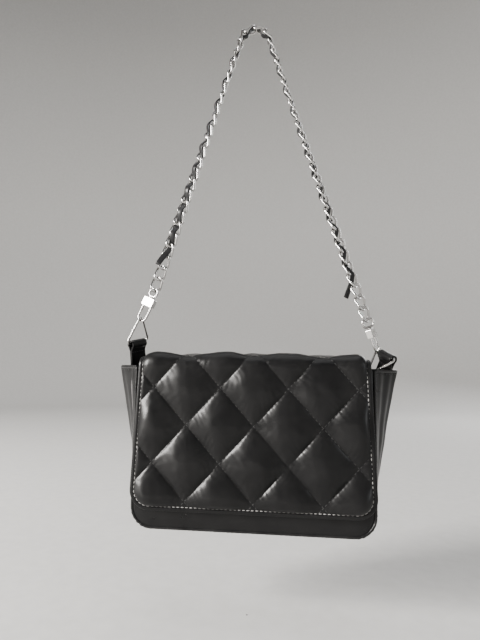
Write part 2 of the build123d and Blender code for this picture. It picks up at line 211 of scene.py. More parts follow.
def plated(name, colour, rough):
    """Polished plating with faint handling marks."""
    material, tree, shader, place = node_material(name)
    haze = texture(tree, "ShaderNodeTexNoise", place, 130.0, Detail=5.0, Roughness=0.6)
    marks = texture(tree, "ShaderNodeTexNoise", place, 900.0, Detail=6.0, Distortion=2.0)
    shader.inputs["Metallic"].default_value = 1.0
    tree.links.new(ramp(tree, haze.outputs["Fac"], 0.3, 0.75, colour, tuple(0.86 * c for c in colour)),
                   shader.inputs["Base Color"])
    tree.links.new(ramp(tree, haze.outputs["Fac"], 0.3, 0.7, rough, rough + 0.1),
                   shader.inputs["Roughness"])
    bump(tree, shader, [(marks.outputs["Fac"], 0.06, 0.00008)])
    return material


def thread(name, colour, groove_shade):
    """Twisted thread, its colour darkened by painted shade in the grooves of its twist."""
    material, tree, shader, place = node_material(name)
    ply = texture(tree, "ShaderNodeTexWave", place, 900.0, Distortion=1.0, Detail=1.0)
    ply.bands_direction = "DIAGONAL"
    # painted shade: the colour darkens where the bump makes the grooves of the twist
    tree.links.new(ramp(tree, ply.outputs["Fac"], 0.2, 0.8, groove_shade, colour), shader.inputs["Base Color"])
    shader.inputs["Roughness"].default_value = 0.55
    bump(tree, shader, [(ply.outputs["Fac"], 0.4, 0.0001)])
    return material


def board(name, colour, shade):
    """Pressed or felted fibre."""
    material, tree, shader, place = node_material(name)
    fibre = texture(tree, "ShaderNodeTexNoise", place, 700.0, Detail=5.0)
    tree.links.new(ramp(tree, fibre.outputs["Fac"], 0.3, 0.7, colour, shade), shader.inputs["Base Color"])
    shader.inputs["Roughness"].default_value = 0.9
    bump(tree, shader, [(fibre.outputs["Fac"], 0.2, 0.0002)])
    return material


BLACK = (0.0045, 0.0045, 0.0048)
WORN = (0.0085, 0.0084, 0.0086)
QUILT_LEATHER = leather("quilt_leather", BLACK, WORN, 0.34, 0.12)
BODY_LEATHER = leather("body_leather", BLACK, WORN, 0.3, 0.14)
TRIM_LEATHER = leather("trim_leather", BLACK, (0.018, 0.018, 0.018), 0.33, 0.2)
LACE_LEATHER = leather("lace_leather", (0.01, 0.01, 0.0105), (0.02, 0.02, 0.021), 0.4, 0.15, 0.25)
LINING = cloth("lining_cloth", (0.03, 0.027, 0.028), (0.055, 0.05, 0.05))
NICKEL = plated("nickel", (0.5, 0.49, 0.48), 0.12)
# each thread's second colour is painted shade for the grooves of its twist
LIGHT_THREAD = thread("light_thread", (0.42, 0.41, 0.4), (0.2, 0.195, 0.19))
DARK_THREAD = thread("dark_thread", (0.03, 0.03, 0.031), (0.012, 0.012, 0.012))
BOARD = board("grey_board", (0.35, 0.31, 0.26), (0.5, 0.46, 0.4))
WADDING = board("wadding", (0.75, 0.75, 0.73), (0.85, 0.85, 0.83))

# what the CAD meshes that stay in view are made of
CAD_MATERIALS = {"metal": NICKEL, "board": BOARD, "wadding": WADDING, "lining": LINING}
for entry in frame["record"]["subparts"]:
    node = frame["nodes"][entry["node"]]
    node.data.materials.clear()
    node.data.materials.append(CAD_MATERIALS.get(entry["material_slot"], BODY_LEATHER))


# ---- mesh helpers ----
def piece(name, verts, faces, material, smooth_faces=True):
    """A mesh object from points in the bag's frame."""
    mesh = bpy.data.meshes.new(name)
    mesh.from_pydata([tuple(v) for v in rows(verts)], [], [tuple(int(i) for i in f) for f in faces])
    built = bmesh.new()
    built.from_mesh(mesh)
    bmesh.ops.remove_doubles(built, verts=built.verts, dist=1e-6)
    bmesh.ops.dissolve_degenerate(built, dist=1e-7, edges=built.edges)
    bmesh.ops.recalc_face_normals(built, faces=built.faces)
    for face in built.faces:
        face.smooth = smooth_faces
    built.to_mesh(mesh)
    built.free()
    mesh.materials.append(material)
    made = bpy.data.objects.new(name, mesh)
    bpy.context.scene.collection.objects.link(made)
    return made


def grid_faces(count_a, count_b, first=0, wrap_b=False):
    """Quads between neighbours of a grid of points stored row by row."""
    a, b = np.meshgrid(np.arange(count_a - 1), np.arange(count_b if wrap_b else count_b - 1), indexing="ij")
    a, b = a.ravel(), b.ravel()
    after = (b + 1) % count_b
    corners = (a * count_b + b, (a + 1) * count_b + b, (a + 1) * count_b + after, a * count_b + after)
    return np.stack(corners, axis=1) + first


def shell(name, outer, inner, material):
    """A closed sheet between two grids of points of the same shape."""
    na, nb, _ = outer.shape
    loop = np.concatenate([outer, inner[:, ::-1]], axis=1)
    faces = [grid_faces(na, 2 * nb, wrap_b=True)]
    for row in (0, na - 1):
        start = row * 2 * nb
        k = np.arange(nb - 1)
        across = (start + k, start + k + 1, start + 2 * nb - 2 - k, start + 2 * nb - 1 - k)
        faces.append(np.stack(across, axis=1))
    return piece(name, loop.reshape(-1, 3), np.concatenate(faces), material)


def normals_of(grid):
    """Unit normals of a grid of points."""
    da = np.gradient(grid, axis=0)
    db = np.gradient(grid, axis=1)
    n = np.cross(da, db)
    return n / np.maximum(np.linalg.norm(n, axis=-1, keepdims=True), 1e-9)


def across_line(points, up):
    """The two directions across a line of points, the second as near to up as it can be."""
    along = np.gradient(points, axis=0)
    along /= np.linalg.norm(along, axis=1, keepdims=True)
    side = np.cross(along, up)
    side /= np.linalg.norm(side, axis=1, keepdims=True)
    return side, np.cross(side, along)


def swept(name, points, up, profile, material):
    """A closed bar along a line: profile gives rows of (across, up) for each point of the line."""
    points = np.asarray(points, float)
    side, high = across_line(points, up)
    count = len(points)
    profile = np.broadcast_to(np.asarray(profile, float), (count, *np.shape(profile)[-2:]))
    ring = points[:, None] + profile[..., :1] * side[:, None] + profile[..., 1:] * high[:, None]
    around = ring.shape[1]
    faces = grid_faces(count, around, wrap_b=True).tolist()
    faces.append(list(range(around)))
    faces.append([(count - 1) * around + k for k in range(around)][::-1])
    return piece(name, ring.reshape(-1, 3), faces, material)


def circle(radius, count):
    angle = np.linspace(0, 2 * math.pi, count, endpoint=False)
    return np.stack([radius * np.cos(angle), radius * np.sin(angle)], axis=1)


def stitches(name, centres, along, out, length, radius, material):
    """A row of separate stitches: rounded dashes that lie on a surface."""
    centres, along, out = (np.asarray(v, float) for v in (centres, along, out))
    along = along / np.linalg.norm(along, axis=1, keepdims=True)
    side = np.cross(along, out)
    side /= np.linalg.norm(side, axis=1, keepdims=True)
    high = np.cross(side, along)
    around = 6
    turn = np.linspace(0, 2 * math.pi, around, endpoint=False)
    verts = []
    stations = ((-0.5, 0.25), (-0.38, 0.85), (0.0, 1.0), (0.38, 0.85), (0.5, 0.25))
    for at, size in stations:
        drop = -radius * 1.1 * (2 * at) ** 4
        for a in turn:
            verts.append(centres + along * at * length + high * (drop + radius * size * math.sin(a))
                         + side * radius * size * math.cos(a))
    verts = np.stack(verts, axis=1)
    per = len(stations) * around
    one = grid_faces(len(stations), around, wrap_b=True).tolist()
    one.append(list(range(around)))
    one.append([per - around + k for k in range(around)][::-1])
    faces = [[k * per + i for i in face] for k in range(len(centres)) for face in one]
    return piece(name, verts.reshape(-1, 3), faces, material)


def evenly(points, spacing):
    """Points at an even spacing along a line, and the directions there."""
    points = np.asarray(points, float)
    lengths = np.concatenate([[0], np.cumsum(np.linalg.norm(np.diff(points, axis=0), axis=1))])
    count = max(2, int(lengths[-1] / spacing))
    at = (np.arange(count) + 0.5) * lengths[-1] / count
    place = np.stack([np.interp(at, lengths, points[:, k]) for k in range(points.shape[1])], axis=1)
    ahead = np.stack([np.interp(at + 0.3, lengths, points[:, k]) for k in range(points.shape[1])], axis=1)
    behind = np.stack([np.interp(at - 0.3, lengths, points[:, k]) for k in range(points.shape[1])], axis=1)
    return place, ahead - behind


# ---- the flap ----
def flap_half(run):
    """Half the flap's width at a distance along it. On its front this distance is the height."""
    return FLAP_HALF_TOP + (FLAP_HALF_LOW - FLAP_HALF_TOP) * np.clip(
        (BEND_Z - run) / (BEND_Z - FLAP_BOTTOM), 0, 1
    )


def flap_point(x, run, t):
    """A point of the flap, t out from the inside of its lining."""
    r = BEND_IN + t
    turn = np.clip((run - BEND_Z) / ARC, 0, 1) * math.pi / 2
    y = FRONT_Y - r * np.cos(turn) + np.maximum(run - BEND_Z - ARC, 0)
    z = BEND_Z + r * np.sin(turn) + np.minimum(run - BEND_Z, 0)
    return np.stack(np.broadcast_arrays(x, y, z), axis=-1)


def edge_distance(x, run):
    """How far inside the flap's outline a point is."""
    side = flap_half(run) - np.abs(x)
    low = run - FLAP_BOTTOM
    round_corner = FLAP_CORNER - np.hypot(
        np.maximum(FLAP_CORNER - side, 0), np.maximum(FLAP_CORNER - low, 0)
    )
    return np.where((side < FLAP_CORNER) & (low < FLAP_CORNER), round_corner, np.minimum(side, low))


QUILT_END = BEND_Z + ARC + (YOKE_Y + 5.0 - FRONT_Y)      # under the plain back piece

# unevenness of the flap and of the body
crumple = Waves(3, 26.0)
crumple_small = Waves(5, 9.5)
pucker_phase = Waves(7, 30.0)
belly = Waves(11, 120.0)
sag = Waves(17, 70.0)
ripple = Waves(19, 26.0)


def quilt_thickness(x, run):
    """The flap's thickness: puffs between two families of stitch lines, thin along the edge."""
    a = (x - QUILT_X0) / QUILT_DX
    b = (run - QUILT_Z0) / QUILT_DZ
    p, q = (a + b - 1) / 2, (a - b - 1) / 2
    sp, sq = np.abs(np.sin(math.pi * p)), np.abs(np.sin(math.pi * q))
    puff = (sp * sq) ** 0.68
    near_p = np.abs(p - np.round(p)) * QUILT_GAP
    near_q = np.abs(q - np.round(q)) * QUILT_GAP
    phase = 2.2 * pucker_phase(x, run)
    gathers = np.exp(-near_p / 6.0) * np.sin(2 * math.pi * q * QUILT_SIDE / 8.3 + phase) * sp ** 0.5
    gathers += np.exp(-near_q / 6.0) * np.sin(2 * math.pi * p * QUILT_SIDE / 8.3 - phase) * sq ** 0.5
    stitch_pull = np.exp(-near_p / 2.6) * np.sin(2 * math.pi * q * QUILT_SIDE / 4.0 + phase)
    stitch_pull += np.exp(-near_q / 2.6) * np.sin(2 * math.pi * p * QUILT_SIDE / 4.0 - phase)
    folds = 0.22 * crumple(x, run) + 0.06 * crumple_small(x, run)
    tight = 1 - 0.5 * smooth(run, BEND_Z - 12, BEND_Z + 6)
    uneven = 1 + 0.07 * np.sin(2.3 * np.floor(p) + 4.1 * np.floor(q))
    puffed = PUFF * tight * uneven * puff + 0.3 * gathers + 0.09 * stitch_pull + folds * puff ** 0.5
    d = edge_distance(x, run)
    back = QUILT_END - run
    inside = np.minimum(np.clip((d - SEAM_IN) / 13.0, 0, 1), np.clip((back - 6.0) / 11.0, 0, 1))
    rise = np.sqrt(np.clip(1 - (1 - inside) ** 2, 0, 1))
    hem = 0.45 * np.sin(math.pi * np.clip(d / SEAM_IN, 0, 1))
    groove = -0.4 * np.exp(-((d - SEAM_IN) / 0.8) ** 2)
    lift = 2.2 * smooth(run, BEND_Z - 12, BEND_Z + 6) * (1 - smooth(run, QUILT_END - 16, QUILT_END - 4))
    return SEAM_T + 0.25 + (np.maximum(puffed, -0.2) + lift) * rise + hem + groove


def flap_rows(step):
    """Distances along the flap, closer together round its bottom corners."""
    turn = np.linspace(0, math.pi / 2, int(FLAP_CORNER * math.pi / 2 / step) + 2)
    low = FLAP_BOTTOM + FLAP_CORNER * (1 - np.cos(turn))
    rest = np.arange(low[-1] + step, QUILT_END, step)
    return np.concatenate([low, rest, [QUILT_END]])


def flap_edge(run, inset=0.0):
    """Half the width of the outline at a distance along the flap, with its round corners."""
    up = np.clip(run - FLAP_BOTTOM - inset, 0, FLAP_CORNER - inset)
    radius = FLAP_CORNER - inset
    cut = radius - np.sqrt(np.maximum(radius ** 2 - (radius - up) ** 2, 0))
    return flap_half(run) - inset - cut


def make_quilt():
    step = 0.8
    run = flap_rows(step)
    share = np.linspace(-1, 1, 2 * int(FLAP_HALF_LOW / step) + 1)
    half = flap_edge(run)
    x = half[:, None] * share[None]
    run_grid = np.broadcast_to(run[:, None], x.shape)
    t = quilt_thickness(x, run_grid) + 0.5 * belly(x, run_grid) * smooth(edge_distance(x, run_grid), 4, 40)
    top = flap_point(x, run_grid, t)

    # the hem: the edge rolls round to the back of the leather and a little way in
    corner_x = half - (flap_half(run) - FLAP_CORNER)
    corner_z = FLAP_CORNER - (run - FLAP_BOTTOM)
    in_corner = run < FLAP_BOTTOM + FLAP_CORNER
    out_x = np.where(in_corner, corner_x / FLAP_CORNER, 1.0)
    out_z = np.where(in_corner, -corner_z / FLAP_CORNER, 0.0)
    size = np.hypot(out_x, out_z)
    out_x, out_z = out_x / size, out_z / size
    edge_t = t[:, 0]
    hem_rows = []
    turns = np.linspace(0, math.pi, 7)[1:]
    profile = [(math.sin(a), (1 + math.cos(a)) / 2) for a in turns] + [(-3.2, 0.0), (-5.5, 0.0)]
    for side in (-1, 1):
        lines = []
        for out, high in profile:
            radius = (edge_t - BACK_T) / 2
            reach = out * radius
            level = BACK_T + (edge_t - BACK_T) * high
            lines.append(flap_point(side * (half + reach * out_x), run + reach * out_z, level))
        hem_rows.append(np.stack(lines, axis=1))
    left, right = hem_rows
    grid = np.concatenate([left[:, ::-1], top, right], axis=1)
    faces = [grid_faces(*grid.shape[:2])]
    verts = [grid.reshape(-1, 3)]

    first = grid.shape[0] * grid.shape[1]
    low_t = t[0]
    low_lines = [top[0]]
    for out, high in profile:
        radius = (low_t - BACK_T) / 2
        level = BACK_T + (low_t - BACK_T) * high
        low_lines.append(flap_point(x[0], run[0] - out * radius, level))
    low = np.stack(low_lines, axis=0)
    faces.append(grid_faces(*low.shape[:2], first=first))
    verts.append(low.reshape(-1, 3))
    return piece("flap_quilt", np.concatenate(verts), np.concatenate(faces), QUILT_LEATHER)


def bend_front(made):
    """Bakes the placement of a piece of the flap into its mesh."""
    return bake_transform(made)


quilt = make_quilt()
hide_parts("flap_skin_front", "flap_wadding_front", "flap_skin_top", "flap_wadding_top",
            "flap_front_fold", "flap_front_fold_wadding", "flap_stiffener")
bend_front(quilt)


def flap_stitches(name, places, directions, lift, length, radius, material):
    """Stitches on the flap's outside, from places and directions along it as (x, run)."""
    t = quilt_thickness(places[:, 0], places[:, 1])
    here = flap_point(places[:, 0], places[:, 1], t + lift)
    size = np.linalg.norm(directions, axis=1, keepdims=True)
    ahead = places + directions / size
    there = flap_point(ahead[:, 0], ahead[:, 1], quilt_thickness(ahead[:, 0], ahead[:, 1]) + lift)
    out = flap_point(places[:, 0], places[:, 1], t + lift + 1) - here
    return bend_front(stitches(name, here, there - here, out, length, radius, material))


def edge_line(inset):
    """The flap's outline, drawn in by an inset, as (x, run)."""
    turn = np.linspace(0, math.pi / 2, 24)
    radius = FLAP_CORNER - inset
    low = FLAP_BOTTOM + FLAP_CORNER
    x = flap_half(low) - FLAP_CORNER + radius * np.cos(turn)
    z = low - radius * np.sin(turn)
    up = np.linspace(QUILT_END - 8, low, 90)[:-1]
    right = np.concatenate([np.stack([flap_half(up) - inset, up], axis=1), np.stack([x, z], axis=1)])
    left = right[::-1] * (-1, 1)
    return np.concatenate([right, left])


places, directions = evenly(edge_line(SEAM_IN), STITCH_PITCH)
flap_stitches("flap_edge_stitches", places, directions, 0.3, 3.2, 0.42, LIGHT_THREAD)

quilt_places, quilt_directions = [], []
for lean in (1, -1):
    for k in range(-6, 7):
        a = np.arange(-4.2, 4.2, 4.6 / QUILT_SIDE)
        b = (2 * k + 1 - a) if lean == 1 else (a - 2 * k - 1)
        x, run = QUILT_X0 + QUILT_DX * a, QUILT_Z0 + QUILT_DZ * b
        on_flap = (run > FLAP_BOTTOM) & (run < QUILT_END - 7)
        on_flap &= edge_distance(x, run) > SEAM_IN + 1.5
        quilt_places.append(np.stack([x, run], axis=1)[on_flap])
        quilt_directions.append(np.tile([QUILT_DX, -lean * QUILT_DZ], (int(on_flap.sum()), 1)))
flap_stitches("flap_quilt_stitches", np.concatenate(quilt_places), np.concatenate(quilt_directions),
              0.05, 3.0, 0.3, DARK_THREAD)


def make_flap_lining():
    run = np.concatenate([FLAP_BOTTOM + 3.2 + np.linspace(0, 17, 14),
                          np.arange(FLAP_BOTTOM + 23, BEND_Z - 3, 5.0),
                          np.linspace(BEND_Z - 2, BEND_Z + ARC + 2, 16),
                          np.arange(BEND_Z + ARC + 5, QUILT_END, 5.0), [QUILT_END]])
    share = np.linspace(-1, 1, 61)
    x = flap_edge(run, 3.2)[:, None] * share[None]
    run_grid = np.broadcast_to(run[:, None], x.shape)
    ease = 0.25 * crumple(x * 0.5, run_grid * 0.5) * smooth(edge_distance(x, run_grid), 3, 20)
    inner = flap_point(x, run_grid, np.maximum(ease, 0))
    outer = flap_point(x, run_grid, LINING_T + np.maximum(ease, 0))
    return shell("flap_lining", outer, inner, LINING)


flap_lining = make_flap_lining()
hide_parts("flap_lining_front", "flap_lining_top")
bend_front(flap_lining)


# ---- the plain back piece, from the back of the body over the fold and on to the top of the flap ----
def yoke_point(x, run, t):
    """A point of the back piece. run is 0 at the back fold's centre height, less below it."""
    r = BEND_IN + t
    turn = np.clip(run / ARC, 0, 1) * math.pi / 2
    y = BACK_Y + r * np.cos(turn) - np.maximum(run - ARC, 0)
    z = BEND_Z + r * np.sin(turn) + np.minimum(run, 0)
    return np.stack(np.broadcast_arrays(x, y, z), axis=-1)


YOKE_LOW = -17.0
YOKE_HIGH = ARC + (BACK_Y - YOKE_Y)


def make_yoke():
    run = np.concatenate([np.linspace(YOKE_LOW, -1, 14), np.linspace(0, ARC, 22),
                          np.linspace(ARC + 1, YOKE_HIGH, 12)])
    share = np.linspace(-1, 1, 121)
    x = (FLAP_HALF_TOP + 0.4) * np.broadcast_to(share, (len(run), len(share)))
    run_grid = np.broadcast_to(run[:, None], x.shape)
    over = smooth(run_grid, ARC, ARC + 5)
    edge = np.minimum(FLAP_HALF_TOP + 0.4 - np.abs(x), np.minimum(run_grid - YOKE_LOW, YOKE_HIGH - run_grid))
    roll = -0.9 * (1 - np.sqrt(1 - (1 - np.clip(edge / 1.6, 0, 1)) ** 2))
    groove = -0.25 * np.exp(-((edge - 3.0) / 0.7) ** 2)
    wave = 0.22 * sag(x, 2 * run_grid) * smooth(edge, 2, 8)
    outer = yoke_point(x, run_grid, 2.9 + 2.0 * over + roll + groove + wave)
    inner = yoke_point(x, run_grid, 0.02 + 3.2 * smooth(run_grid, ARC + 6, ARC + 7))
    return shell("flap_yoke", outer, inner, BODY_LEATHER)


def bend_back(made):
    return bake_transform(made)


yoke = make_yoke()
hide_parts("flap_tail", "flap_back_fold", "flap_back_fold_wadding")
bend_back(yoke)

YOKE_SEAMS = (
    ("yoke_low_stitches", YOKE_LOW + 3.0, 2.75),
    ("yoke_top_stitches", YOKE_HIGH - 3.0, 4.7),
)
for name, run, t in YOKE_SEAMS:
    x = np.arange(-FLAP_HALF_TOP + 4, FLAP_HALF_TOP - 4, STITCH_PITCH)
    here = yoke_point(x, np.full(len(x), run), t + 0.2)
    out = yoke_point(x, np.full(len(x), run), t + 1.05) - here
    bend_back(stitches(name, here, np.tile([1.0, 0, 0], (len(x), 1)), out, 3.1, 0.3, DARK_THREAD))


# ---- body panels ----
def upright_grid(half, low, top, corner, step):
    """x and z of an upright board with round bottom corners."""
    turn = np.linspace(0, math.pi / 2, int(corner * math.pi / 2 / step) + 2)
    z = np.concatenate([low + corner * (1 - np.cos(turn)), np.arange(low + corner + step, top, step), [top]])
    up = np.clip(z - low, 0, corner)
    edge = half - corner + np.sqrt(np.maximum(corner ** 2 - (corner - up) ** 2, 0))
    x = edge[:, None] * np.linspace(-1, 1, 2 * int(half / step) + 1)[None]
    return x, np.broadcast_to(z[:, None], x.shape)


FACE_HALF = HALF_WIDTH - 2 * PIPE_R
FACE_LOW = 2 * PIPE_R
FACE_CORNER = CORNER - 2 * PIPE_R


def panel_relief(x, z):
    """Soft dents and creases in a body panel, none at its edges, and a tuck in beside the piping."""
    side = FACE_HALF - np.abs(x)
    low = z - FACE_LOW
    d = np.minimum(side, low)
    rounded = FACE_CORNER - np.hypot(np.maximum(FACE_CORNER - side, 0), np.maximum(FACE_CORNER - low, 0))
    d = np.where((side < FACE_CORNER) & (low < FACE_CORNER), rounded, d)
    swell = 0.9 * smooth(d, 0, 9)
    return swell + (0.35 * sag(x, z) + 0.05 * ripple(x, z)) * smooth(d, 1, 14)


def make_panel(name, y, outward, material, thick):
    x, z = upright_grid(FACE_HALF, FACE_LOW, BODY_TOP, FACE_CORNER, 1.6)
    outer = np.stack([x, y + outward * panel_relief(x, z), z], axis=-1)
    inner = np.stack([x, np.full(x.shape, y - outward * thick), z], axis=-1)
    return shell(name, outer, inner, material)


front = make_panel("body_front", 0.5, -1, BODY_LEATHER, BODY_T)
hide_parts("front_panel", "front_stiffener")
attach(front, "bag")
back = make_panel("body_back", DEPTH - 0.5, 1, BODY_LEATHER, BODY_T)
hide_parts("back_panel", "back_stiffener")
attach(back, "bag")


def u_line(inset, top, step=1.5):
    """The body's outline seen from the front, drawn in, from the top left round the base to the top right."""
    half, radius = HALF_WIDTH - inset, CORNER - inset
    turn = np.linspace(0, math.pi / 2, 26)
    down = np.arange(top, CORNER, -step)
    corner_x = half - radius + radius * np.cos(turn)
    corner_z = inset + radius - radius * np.sin(turn)
    flat = np.arange(half - radius - step, 0, -step)
    x = np.concatenate([np.full(len(down), half), corner_x, flat, [0.0]])
    z = np.concatenate([down, corner_z, np.full(len(flat) + 1, inset)])
    right = np.stack([x, z], axis=1)
    return np.concatenate([right * (-1, 1), right[-2::-1]])


def outward_of(line):
    """Unit directions out of the body along a u_line."""
    along = np.gradient(line, axis=0)
    along /= np.linalg.norm(along, axis=1, keepdims=True)
    return np.stack([along[:, 1], -along[:, 0]], axis=1)


def make_base(name, inset, top, thick, y_low, y_high, material, relief):
    line = u_line(inset, top)
    out = outward_of(line)
    y = np.linspace(y_low, y_high, 40)
    at = np.cumsum(np.concatenate([[0], np.linalg.norm(np.diff(line, axis=0), axis=1)]))
    edge = np.minimum(y - y_low, y_high - y)[None]
    flat = smooth(np.abs(line[:, :1]), HALF_WIDTH - CORNER - 6, HALF_WIDTH - CORNER + 6)
    lift = relief * (sag(at[:, None], y[None]) * 0.35 + 0.15 * ripple(at[:, None], y[None]))
    lift = lift * smooth(edge, 0.5, 8) * flat - 0.15
    centre = np.stack(np.broadcast_arrays(line[:, :1], y[None], line[:, 1:]), axis=-1)
    outward = np.stack(np.broadcast_arrays(out[:, :1], 0.0 * y[None], out[:, 1:]), axis=-1)
    return shell(name, centre + outward * lift[..., None], centre - outward * thick, material)


base = make_base("body_base", 0.0, SIDE_LOW + 1.0, BASE_T, 2.6, DEPTH - 2.6, BODY_LEATHER, 1.0)
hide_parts("base_panel", "base_stiffener")
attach(base, "bag")


# ---- sides ----
side_wave = Waves(23, 34.0, stretch=2.2)
side_crease = Waves(29, 11.0, stretch=2.6)


def side_point(hand, w, z, out):
    """A point of a side. w runs from -1 at the front piping to 1 at the back; out is away from the bag."""
    c = 1.0 + (FLARE - 1.0) * np.clip((z - SIDE_LOW) / (BODY_TOP - SIDE_LOW), 0, 1)
    soft = 0.1
    fold = (math.sqrt(1 + soft ** 2) - np.sqrt(w ** 2 + soft ** 2)) / (math.sqrt(1 + soft ** 2) - soft)
    x = HALF_WIDTH + c * fold + out
    y = DEPTH / 2 + (DEPTH / 2 - 2 * PIPE_R) * w
    return np.stack(np.broadcast_arrays(hand * x, y, z), axis=-1)


def make_side(name, hand, out, thick, top, material, relief):
    w = np.linspace(-1, 1, 71)
    z = np.linspace(SIDE_LOW - 1.0, top, 110)
    w, z = np.meshgrid(w, z)
    free = smooth(1 - np.abs(w), 0.0, 0.25)
    wave = 0.45 * side_wave(w * 29 + 200 * hand, z) + 0.1 * side_crease(w * 29 + 90 * hand, z)
    hollow = -1.3 * np.sin(math.pi * np.abs(w)) * smooth(z, SIDE_LOW, BODY_TOP - 30)
    hollow += 0.55 * np.cos(5 * math.pi * w + 0.4 * np.sin(z / 31)) * smooth(z, SIDE_LOW, BODY_TOP - 60)
    pinch = 1.0 * smooth(-z, -70, -30) * np.sin(6 * math.pi * w) * (1 - np.abs(w))
    lift = relief * free * (wave + hollow + 0.5 * pinch)
    outer = side_point(hand, w, z, out + lift)
    inner = side_point(hand, w, z, out + lift - thick)
    made = shell(name, outer, inner, material)
    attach(made, "bag")
    return made


def make_binding(name, hand):
    w = np.linspace(-1, 1, 81)
    line = side_point(hand, w, np.full(len(w), BODY_TOP - 0.4), -0.9)
    swell = 1 + 0.05 * np.sin(np.arange(len(w)) * 1.7)
    profile = circle(1.75, 14)[None] * swell[:, None, None] * (1.0, 1.15)
    made = swept(name, line, (0, 0, 1), profile, TRIM_LEATHER)
    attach(made, "bag")
    return made


for label, hand in (("left", -1), ("right", 1)):
    side = make_side(f"side_{label}", hand, 0.0, SIDE_T, BODY_TOP, BODY_LEATHER, 1.0)
    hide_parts(f"gusset_{label}")
    cover = make_side(f"side_lining_{label}", hand, -1.75, LINING_T, BODY_TOP - 0.5, LINING, 0.25)
    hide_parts(f"lining_{label}")
    bound = make_binding(f"side_binding_{label}", hand)
    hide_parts(f"gusset_binding_{label}")
    w = np.linspace(-0.93, 0.93, 15)
    for face, out in (("outer", 0.0), ("inner", -2.9)):
        here = side_point(hand, w, np.full(len(w), BODY_TOP - 3.6), out + 0.15)
        ahead = side_point(hand, w + 0.01, np.full(len(w), BODY_TOP - 3.6), out + 0.15)
        rise = np.tile([hand * (1.0 if face == "outer" else -1.0), 0, 0], (len(w), 1))
        row = stitches(f"side_stitches_{face}_{label}", here, ahead - here, rise, 3.0, 0.28,
                       DARK_THREAD)
        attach(row, "bag")


# ---- piping ----
gather = Waves(31, 4.5)
for name, y in (("piping_front", PIPE_R), ("piping_back", DEPTH - PIPE_R)):
    line = u_line(PIPE_R, BODY_TOP, 1.2)
    points = np.stack([line[:, 0], np.full(len(line), y), line[:, 1]], axis=1)
    at = np.arange(len(points)) * 1.2
    corner = smooth(np.abs(points[:, 0]), 100, 112) * smooth(-points[:, 2], -26, -18)
    swell = 1 + 0.03 * gather(at, 0 * at) * (1 + 2 * corner)
    profile = circle(PIPE_R, 14)[None] * swell[:, None, None]
    made = swept(name + "_cord", points, (0, 1, 0), profile, TRIM_LEATHER)
    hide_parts(name)
    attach(made, "bag")


# ---- inside ----
def lining_panel(name, y, outward, node):
    x, z = upright_grid(FACE_HALF - 0.6, FACE_LOW + 1.0, BODY_TOP - 0.6, FACE_CORNER - 1.0, 3.0)
    ease = 0.25 * np.maximum(sag(x + 300, z), -0.5) * smooth(FACE_HALF - np.abs(x), 0, 20)
    outer = np.stack([x, y + outward * (LINING_T + ease), z], axis=-1)
    inner = np.stack([x, np.full(x.shape, y), z], axis=-1)
    made = shell(name, outer, inner, LINING)
    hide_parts(node)
    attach(made, "bag")


lining_panel("inside_front", 3.3, 1, "lining_front")
lining_panel("inside_back", DEPTH - 3.3, -1, "lining_back")
inside_base = make_base("inside_base", 3.9, SIDE_LOW, -0.7, 4.2, DEPTH - 4.2, LINING, 0.0)
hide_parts("lining_base")
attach(inside_base, "bag")


def make_pocket():
    low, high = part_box("inner_pocket")
    (x0, y0, z0), (x1, y1, z1) = ((np.array(c) - BAG) * 1000 for c in (low, high))
    x = np.linspace(x0, x1, 91)
    z = np.linspace(z0, z1, 60)
    x, z = np.meshgrid(x, z)
    side = np.minimum(x - x0, x1 - x)
    stand = np.sqrt(1 - (1 - np.clip(side / 7, 0, 1)) ** 2)
    stand = stand * np.sqrt(1 - (1 - np.clip((z - z0) / 9, 0, 1)) ** 2)
    ease = 0.3 * sag(x, z + 90) * smooth(side, 2, 20)
    outer_y = y1 - (y1 - y0 - 0.3) * (0.25 + 0.75 * smooth(z, z0, z1)) * stand + ease * 0.5
    outer = np.stack([x, outer_y, z], axis=-1)
    inner = outer + (0, LINING_T, 0)
    made = shell("slip_pocket", outer, inner, LINING)
    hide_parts("inner_pocket")
    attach(made, "bag")
    hem_x = np.linspace(x0 + 0.5, x1 - 0.5, 90)
    hem_y = np.interp(hem_x, x[-1], outer_y[-1])
    line = np.stack([hem_x, hem_y + 0.3, np.full(len(hem_x), z1 - 0.6)], axis=1)
    hem = swept("slip_pocket_hem", line, (0, 0, 1), circle(0.9, 10) * (1.0, 1.3), TRIM_LEATHER)
    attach(hem, "bag")


make_pocket()


# ---- tabs ----
def joint(name):
    return next(j for j in frame["joints"] if j["name"] == name)


TAB_WIDTH = 20.0
TAB_LAYER = 1.6
TAB_MID = 4.2                             # radius of the loop round the ring
TAB_NECK = 7.5                            # from the loop's middle down to where its two layers meet
TAB_STRAND = 0.85                         # middle of each layer, from the plane between them
TAB_FOOT_Y = 46.0
TAB_FOOT_Z = 146.0
RING_DROP = 2.1


